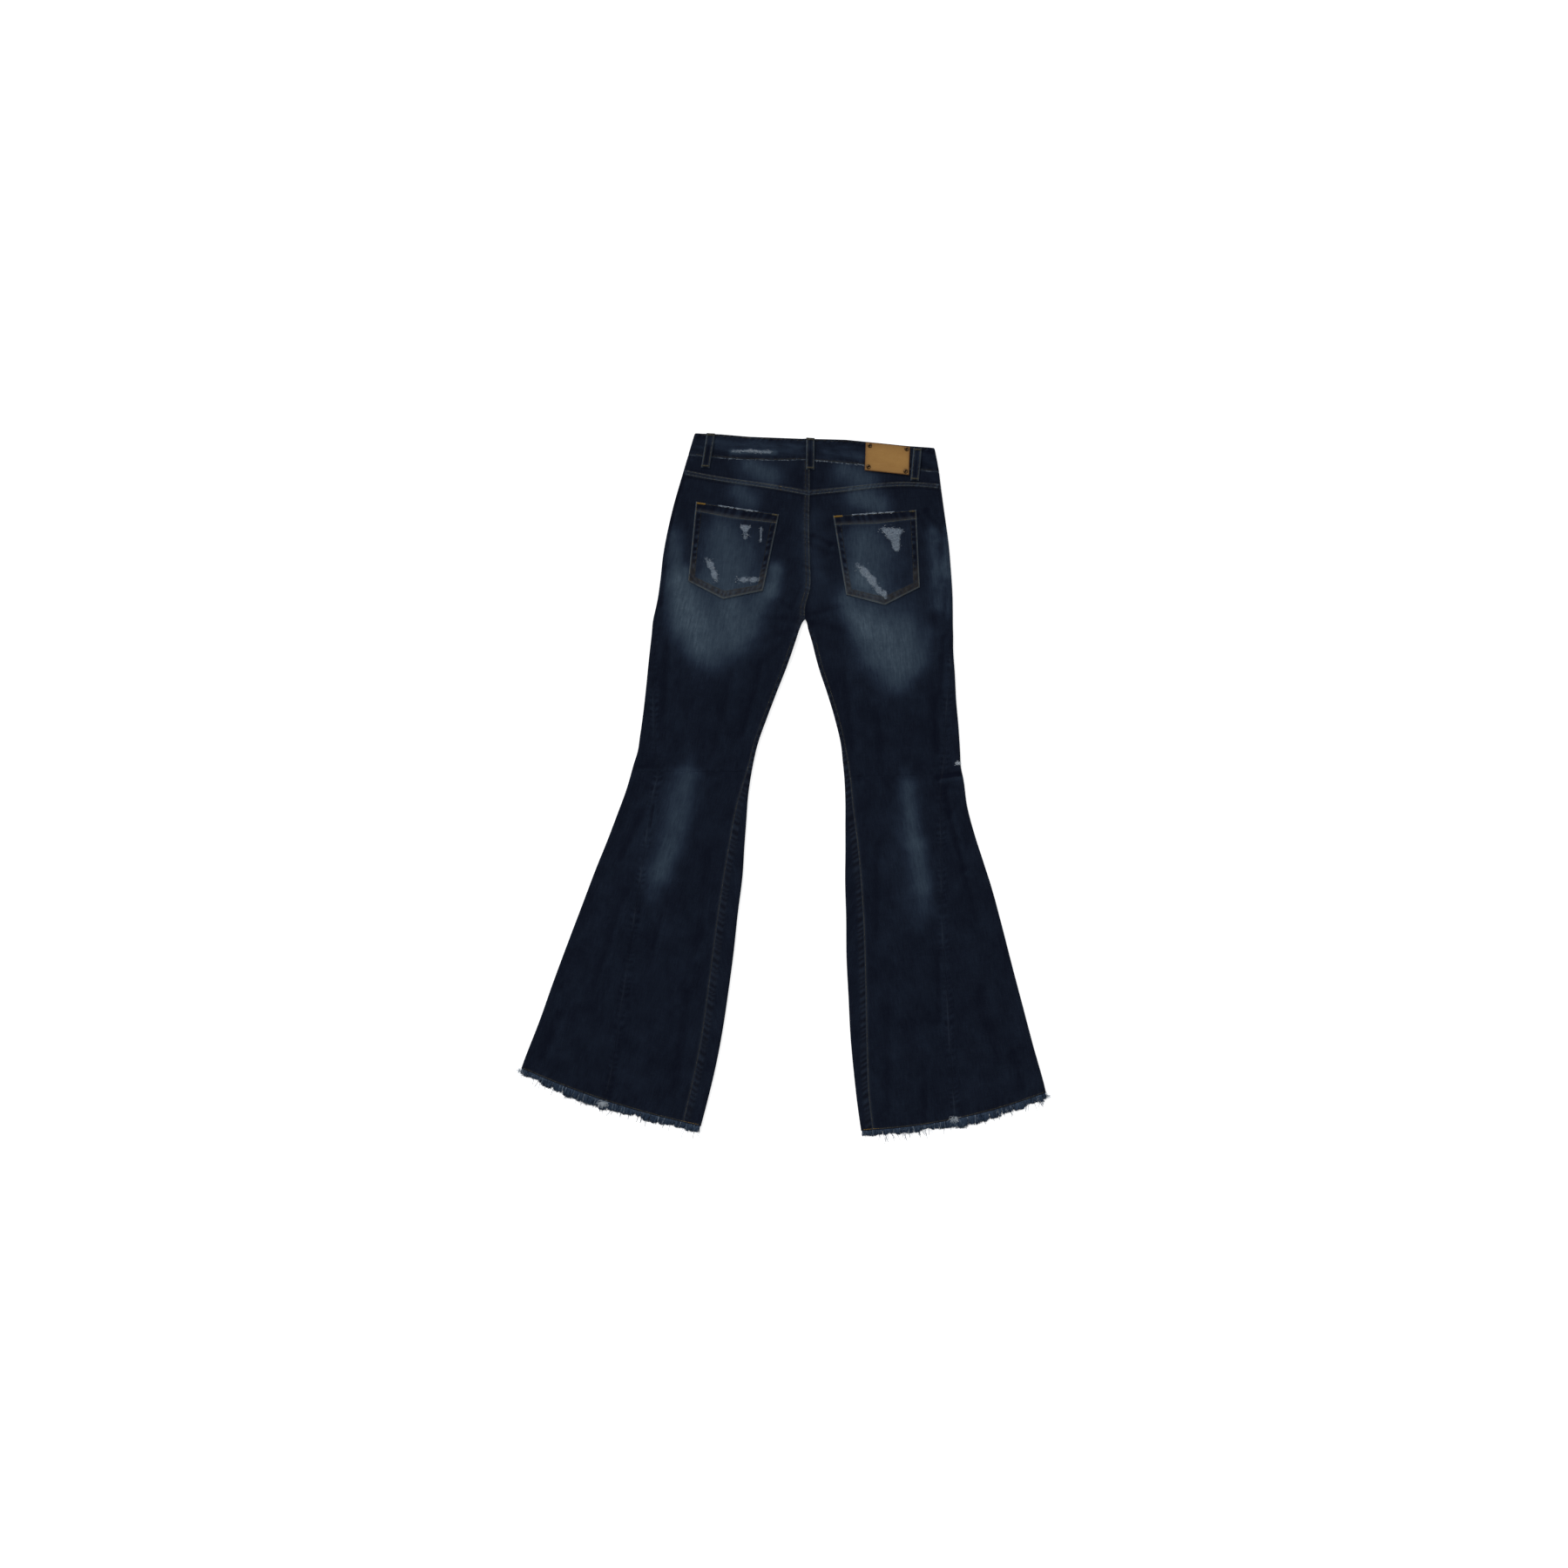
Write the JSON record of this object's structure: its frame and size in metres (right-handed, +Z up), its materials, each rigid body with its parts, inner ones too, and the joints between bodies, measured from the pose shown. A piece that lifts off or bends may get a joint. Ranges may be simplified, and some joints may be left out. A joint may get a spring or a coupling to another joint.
{
  "type": "flared low-rise jeans, laid flat",
  "caption": "Flared low-rise jeans with raw frayed hems, worn seat, patch pockets and a bare leather patch, lying flat with the back up.",
  "frame": {"origin": "middle of the garment's outline, on the surface it lies on", "axes": "+X toward the wearer's right, +Y from hems to waist, +Z up, out of the back of the jeans"},
  "size_m": [0.8055, 1.0738, 0.0077],
  "materials": {
    "denim": "dark indigo twill with worn, brushed areas",
    "frayed_edge": "loose blue and white threads",
    "leather": "undyed tan, matte",
    "aged_brass": "dark, aged",
    "button_metal": "aged, satin"
  },
  "bodies": {
    "root": {"back_bell_left": "denim", "back_bell_right": "denim", "back_pocket_left": "denim", "back_pocket_right": "denim", "back_upper_left": "denim", "back_upper_right": "denim", "belt_loop_centre": "denim", "belt_loop_left": "denim", "belt_loop_right": "denim", "fly_facing": "denim", "fringe_back_left": "frayed_edge", "fringe_back_right": "frayed_edge", "fringe_front_left": "frayed_edge", "fringe_front_right": "frayed_edge", "front_bell_left": "denim", "front_bell_right": "denim", "front_upper_left": "denim", "front_upper_right": "denim", "leather_patch": "leather", "patch_rivet_1": "aged_brass", "patch_rivet_2": "aged_brass", "patch_rivet_3": "aged_brass", "patch_rivet_4": "aged_brass", "waist_button": "button_metal", "waistband": "denim", "yoke_left": "denim", "yoke_right": "denim"}
  },
  "joints": []
}
